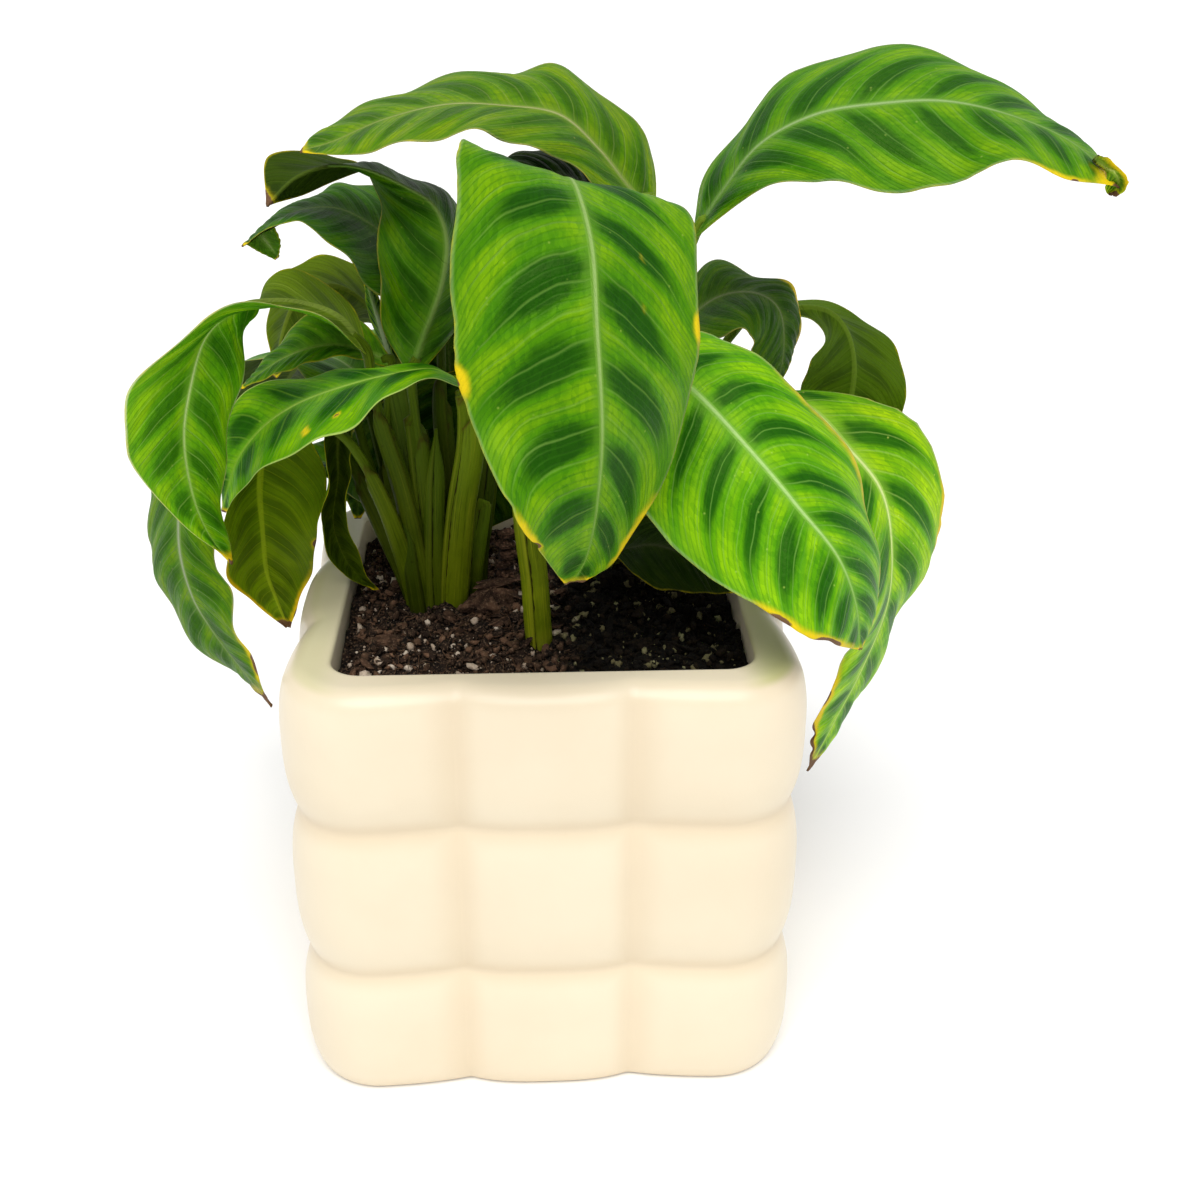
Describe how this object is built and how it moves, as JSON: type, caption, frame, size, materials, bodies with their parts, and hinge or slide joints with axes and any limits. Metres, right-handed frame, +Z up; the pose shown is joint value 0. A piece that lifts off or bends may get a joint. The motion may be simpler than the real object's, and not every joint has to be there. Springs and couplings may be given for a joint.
{
  "type": "potted plant",
  "caption": "Zebra calathea with arching banded leaves in a cream ceramic cube planter with a bubble relief.",
  "frame": {"origin": "centre of the pot's flat base", "axes": "+Z up, -Y towards the front, +X to the right as seen from the front"},
  "size_m": [0.2567, 0.2245, 0.2737],
  "materials": {
    "pot": "satin cream glaze",
    "soil": "loose dark potting soil with bark and perlite",
    "leaf": "smooth living leaf with a soft sheen, dark bands on bright green",
    "stem": "smooth olive green stalk",
    "dry_stem": "dry dull brown"
  },
  "bodies": {
    "root": {"pot": "pot", "soil": "soil", "shoot_main": "leaf", "shoot_right": "leaf", "shoot_front": "leaf", "dry_stump": "dry_stem"}
  },
  "joints": []
}
